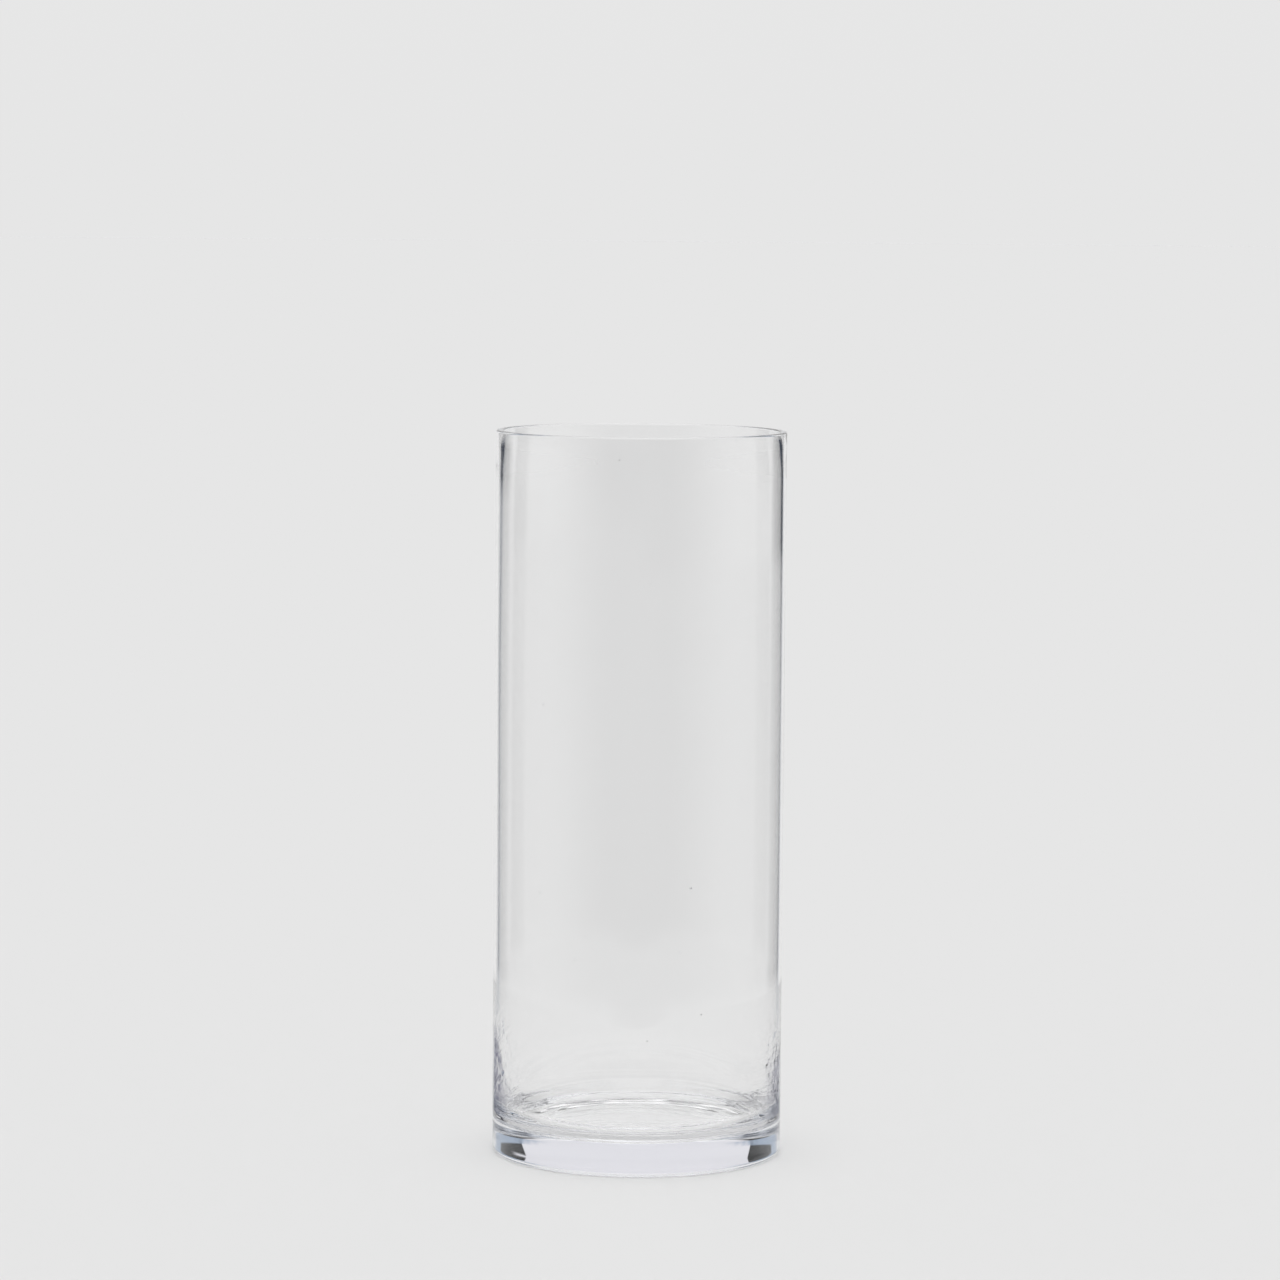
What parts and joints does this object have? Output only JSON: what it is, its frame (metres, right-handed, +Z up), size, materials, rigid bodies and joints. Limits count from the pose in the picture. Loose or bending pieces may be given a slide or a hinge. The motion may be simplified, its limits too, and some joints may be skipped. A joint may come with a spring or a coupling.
{
  "type": "cylinder vase",
  "caption": "Tall straight-sided clear glass cylinder vase with thin walls, an open polished rim and a thick solid glass base.",
  "frame": {"origin": "centre of the foot, on the plane that the vase stands on", "axes": "+Z up along the vase's axis of revolution, from the foot to the open rim; X and Y are free, because the vase is round"},
  "size_m": [0.12, 0.12, 0.3],
  "materials": {
    "clear_glass": "clear, smooth, fire-polished soda-lime glass with faint flow lines near the base and a few tiny seeds"
  },
  "bodies": {
    "root": {"vase_body": "clear_glass"}
  },
  "joints": []
}
